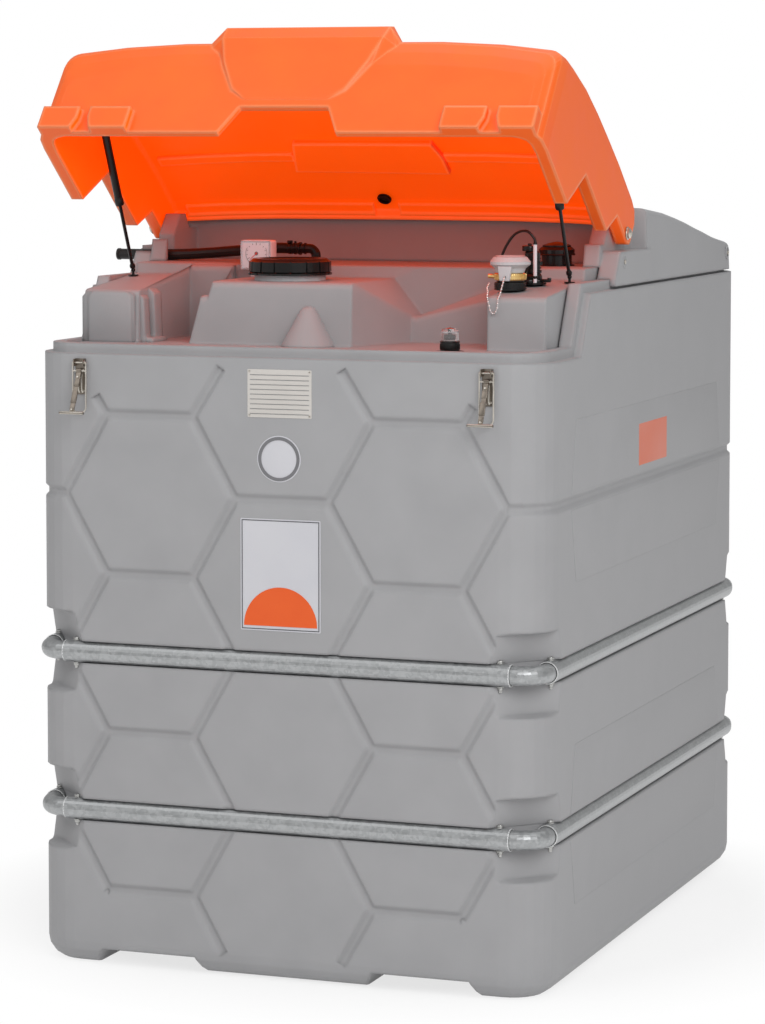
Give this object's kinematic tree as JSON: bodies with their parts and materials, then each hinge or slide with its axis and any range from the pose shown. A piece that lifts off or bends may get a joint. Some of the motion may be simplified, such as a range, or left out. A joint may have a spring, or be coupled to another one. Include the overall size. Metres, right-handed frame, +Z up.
{
  "type": "bunded fuel tank",
  "caption": "Upright double-walled plastic diesel tank with an orange hood held open on gas struts over the filling gear, steel tube rings round the body and forklift channels below.",
  "frame": {"origin": "centre of the tank's footprint on the ground", "axes": "+Z up, -Y towards the front face with the latches, +X to the side of the filling coupling"},
  "size_m": [1.2366, 1.6607, 2.0533],
  "materials": {
    "grey_plastic": "rotomoulded mid-grey polyethylene",
    "orange_plastic": "rotomoulded orange-red polyethylene",
    "pale_grey_plastic": "moulded pale grey plastic",
    "black_plastic": "black moulded plastic",
    "white_plastic": "white moulded plastic",
    "clear_plastic": "clear dome, slightly pink",
    "black_rubber": "black hose rubber",
    "galvanised_steel": "hot-dip galvanised tube",
    "latch_steel": "zinc-plated steel",
    "brass": "turned brass"
  },
  "bodies": {
    "tank": {"outer_tank": "grey_plastic", "inner_tank": "grey_plastic", "rear_cover": "grey_plastic", "rail_lower_front": "galvanised_steel", "rail_lower_rear": "galvanised_steel", "rail_lower_left": "galvanised_steel", "rail_lower_right": "galvanised_steel", "rail_upper_front": "galvanised_steel", "rail_upper_rear": "galvanised_steel", "rail_upper_left": "galvanised_steel", "rail_upper_right": "galvanised_steel", "bend_lower_front_left": "galvanised_steel", "bend_lower_front_right": "galvanised_steel", "bend_lower_rear_left": "galvanised_steel", "bend_lower_rear_right": "galvanised_steel", "bend_upper_front_left": "galvanised_steel", "bend_upper_front_right": "galvanised_steel", "bend_upper_rear_left": "galvanised_steel", "bend_upper_rear_right": "galvanised_steel", "latch_left_base": "latch_steel", "latch_right_base": "latch_steel", "hinge_pin_left": "latch_steel", "hinge_pin_right": "latch_steel", "strut_left_foot": "latch_steel", "strut_right_foot": "latch_steel", "cap_collar": "pale_grey_plastic", "screw_cap": "black_plastic", "level_gauge": "white_plastic", "suction_hose": "black_rubber", "hose_bend": "black_plastic", "fill_neck": "black_plastic", "fill_ring": "brass", "dust_cap": "pale_grey_plastic", "limit_sensor": "black_plastic", "sensor_rod": "white_plastic", "sensor_lead": "black_rubber", "vent": "black_plastic", "leak_indicator_base": "black_plastic", "leak_indicator_dome": "clear_plastic"},
    "hood": {"lid": "orange_plastic", "lid_plug": "black_plastic", "strut_left_stud": "latch_steel", "strut_right_stud": "latch_steel"},
    "strut_left_lower": {"strut_left_rod": "latch_steel"},
    "strut_left_upper": {"strut_left_cylinder": "black_plastic"},
    "strut_right_lower": {"strut_right_rod": "latch_steel"},
    "strut_right_upper": {"strut_right_cylinder": "black_plastic"},
    "latch_left_wire": {"latch_left_lever": "latch_steel"},
    "latch_left_catch": {"latch_left_hook": "latch_steel"},
    "latch_right_wire": {"latch_right_lever": "latch_steel"},
    "latch_right_catch": {"latch_right_hook": "latch_steel"}
  },
  "joints": [
    {"name": "hood_hinge", "type": "hinge", "parent": "tank", "child": "hood", "pos_m": [0, -0.158, 1.6], "axis": [1, 0, 0], "range_deg": [0, 39]},
    {"name": "strut_left_swing", "type": "hinge", "parent": "tank", "child": "strut_left_lower", "pos_m": [-0.52, -0.405, 1.512], "axis": [1, 0, 0], "range_deg": [0, 56]},
    {"name": "strut_left_slide", "type": "slide", "parent": "strut_left_lower", "child": "strut_left_upper", "axis": [0, -0.4297, 0.903], "range_m": [-0.148, 0]},
    {"name": "strut_right_swing", "type": "hinge", "parent": "tank", "child": "strut_right_lower", "pos_m": [0.52, -0.405, 1.512], "axis": [1, 0, 0], "range_deg": [0, 56]},
    {"name": "strut_right_slide", "type": "slide", "parent": "strut_right_lower", "child": "strut_right_upper", "axis": [0, -0.4297, 0.903], "range_m": [-0.148, 0]},
    {"name": "latch_left_wire_hinge", "type": "hinge", "parent": "tank", "child": "latch_left_wire", "pos_m": [-0.466, -0.81, 1.328], "axis": [-1, 0, 0], "range_deg": [0, 100]},
    {"name": "latch_left_catch_hinge", "type": "hinge", "parent": "latch_left_wire", "child": "latch_left_catch", "pos_m": [-0.466, -0.81, 1.31], "axis": [-1, 0, 0], "range_deg": [0, 55]},
    {"name": "latch_right_wire_hinge", "type": "hinge", "parent": "tank", "child": "latch_right_wire", "pos_m": [0.466, -0.81, 1.328], "axis": [-1, 0, 0], "range_deg": [0, 100]},
    {"name": "latch_right_catch_hinge", "type": "hinge", "parent": "latch_right_wire", "child": "latch_right_catch", "pos_m": [0.466, -0.81, 1.31], "axis": [-1, 0, 0], "range_deg": [0, 55]}
  ],
  "couplings": [
    {"joint": "strut_left_swing", "follows": "hood_hinge", "ratio": 1.4216},
    {"joint": "strut_left_slide", "follows": "hood_hinge", "m_per_rad": -0.21652},
    {"joint": "strut_right_swing", "follows": "hood_hinge", "ratio": 1.4216},
    {"joint": "strut_right_slide", "follows": "hood_hinge", "m_per_rad": -0.21652}
  ]
}
